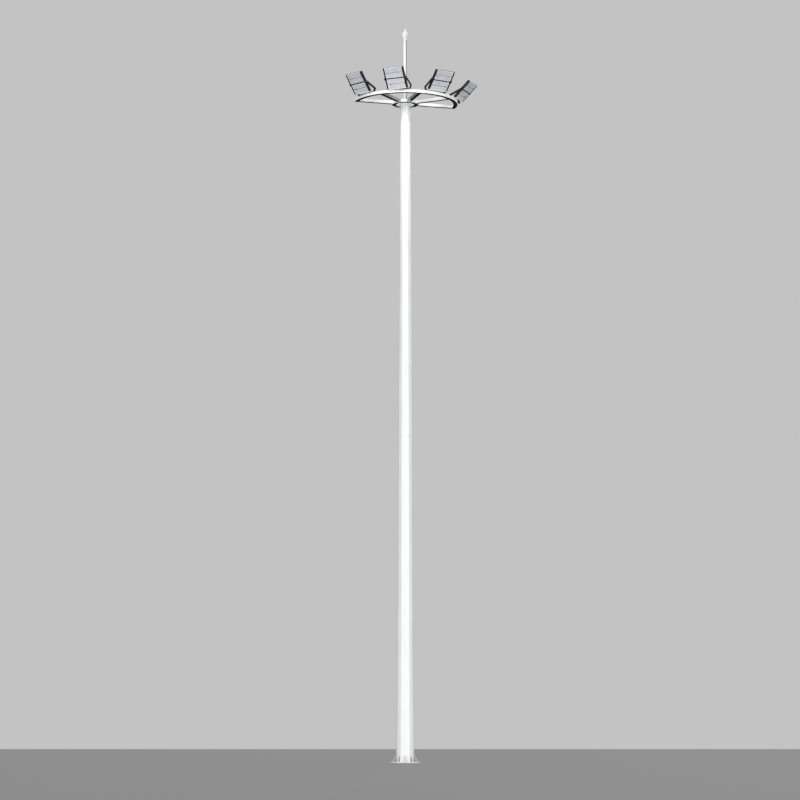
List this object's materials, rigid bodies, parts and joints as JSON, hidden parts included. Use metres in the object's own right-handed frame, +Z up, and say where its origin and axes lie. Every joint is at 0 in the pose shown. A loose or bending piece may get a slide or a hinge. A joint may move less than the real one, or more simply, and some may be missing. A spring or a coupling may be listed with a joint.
{
  "type": "high mast floodlight tower",
  "caption": "Tapering twelve-sided steel mast on a ribbed base flange, with a half-ring head frame, swivelling tilting floodlights and a lightning rod with a spearhead.",
  "frame": {"origin": "centre of the base flange's underside", "axes": "+Z up the mast; the floodlights are spread about the -Y side, and +X is to the right of someone who faces them"},
  "size_m": [3.6021, 2.3947, 20.178],
  "materials": {
    "painted_steel": "satin white paint over galvanised steel",
    "black_steel": "black powder coat",
    "black_aluminium": "black anodised",
    "black_housing": "matt black",
    "white_bezel": "satin white",
    "lens": "ribbed clear lens over a light module",
    "zinc_bolts": "hot-dip galvanised"
  },
  "bodies": {
    "mast": {"base_flange": "painted_steel", "base_ribs": "painted_steel", "pole_lower": "painted_steel", "pole_upper": "painted_steel", "hub": "painted_steel", "hub_webs": "painted_steel", "spokes": "painted_steel", "half_ring": "painted_steel", "head_plate": "painted_steel", "rod_foot": "painted_steel", "lightning_rod": "painted_steel", "spearhead": "painted_steel", "swivel_bolts": "zinc_bolts"},
    "yoke_1": {"yoke_1": "black_steel"},
    "lamp_1": {"lamp_frame_1": "black_aluminium", "heat_sinks_1": "black_aluminium", "bezels_1": "white_bezel", "lenses_1": "lens", "driver_box_1": "black_housing", "tilt_bolts_1": "black_steel"},
    "yoke_2": {"yoke_2": "black_steel"},
    "lamp_2": {"lamp_frame_2": "black_aluminium", "heat_sinks_2": "black_aluminium", "bezels_2": "white_bezel", "lenses_2": "lens", "driver_box_2": "black_housing", "tilt_bolts_2": "black_steel"},
    "yoke_3": {"yoke_3": "black_steel"},
    "lamp_3": {"lamp_frame_3": "black_aluminium", "heat_sinks_3": "black_aluminium", "bezels_3": "white_bezel", "lenses_3": "lens", "driver_box_3": "black_housing", "tilt_bolts_3": "black_steel"},
    "yoke_4": {"yoke_4": "black_steel"},
    "lamp_4": {"lamp_frame_4": "black_aluminium", "heat_sinks_4": "black_aluminium", "bezels_4": "white_bezel", "lenses_4": "lens", "driver_box_4": "black_housing", "tilt_bolts_4": "black_steel"}
  },
  "joints": [
    {"name": "yoke_1_swivel", "type": "hinge", "parent": "mast", "child": "yoke_1", "pos_m": [-1.05786, -0.89396, 18.05], "axis": [0, 0, 1], "range_deg": [-24, 16]},
    {"name": "lamp_1_tilt", "type": "hinge", "parent": "yoke_1", "child": "lamp_1", "pos_m": [-1.27293, -1.10311, 18.3], "axis": [0.6972, -0.7169, 0], "range_deg": [-31, 24]},
    {"name": "yoke_2_swivel", "type": "hinge", "parent": "mast", "child": "yoke_2", "pos_m": [-0.13996, -1.37791, 18.05], "axis": [0, 0, 1], "range_deg": [-1, 39]},
    {"name": "lamp_2_tilt", "type": "hinge", "parent": "yoke_2", "child": "lamp_2", "pos_m": [-0.2658, -1.65024, 18.3], "axis": [0.9078, -0.4195, 0], "range_deg": [-26, 29]},
    {"name": "yoke_3_swivel", "type": "hinge", "parent": "mast", "child": "yoke_3", "pos_m": [0.81799, -1.11764, 18.05], "axis": [0, 0, 1], "range_deg": [-16.5, 23.5]},
    {"name": "lamp_3_tilt", "type": "hinge", "parent": "yoke_3", "child": "lamp_3", "pos_m": [0.98006, -1.37009, 18.3], "axis": [0.8415, 0.5402, 0], "range_deg": [-37, 18]},
    {"name": "yoke_4_swivel", "type": "hinge", "parent": "mast", "child": "yoke_4", "pos_m": [1.38196, -0.09179, 18.05], "axis": [0, 0, 1], "range_deg": [-2, 38]},
    {"name": "lamp_4_tilt", "type": "hinge", "parent": "yoke_4", "child": "lamp_4", "pos_m": [1.6605, -0.2032, 18.3], "axis": [0.3714, 0.9285, 0], "range_deg": [-41, 14]}
  ]
}
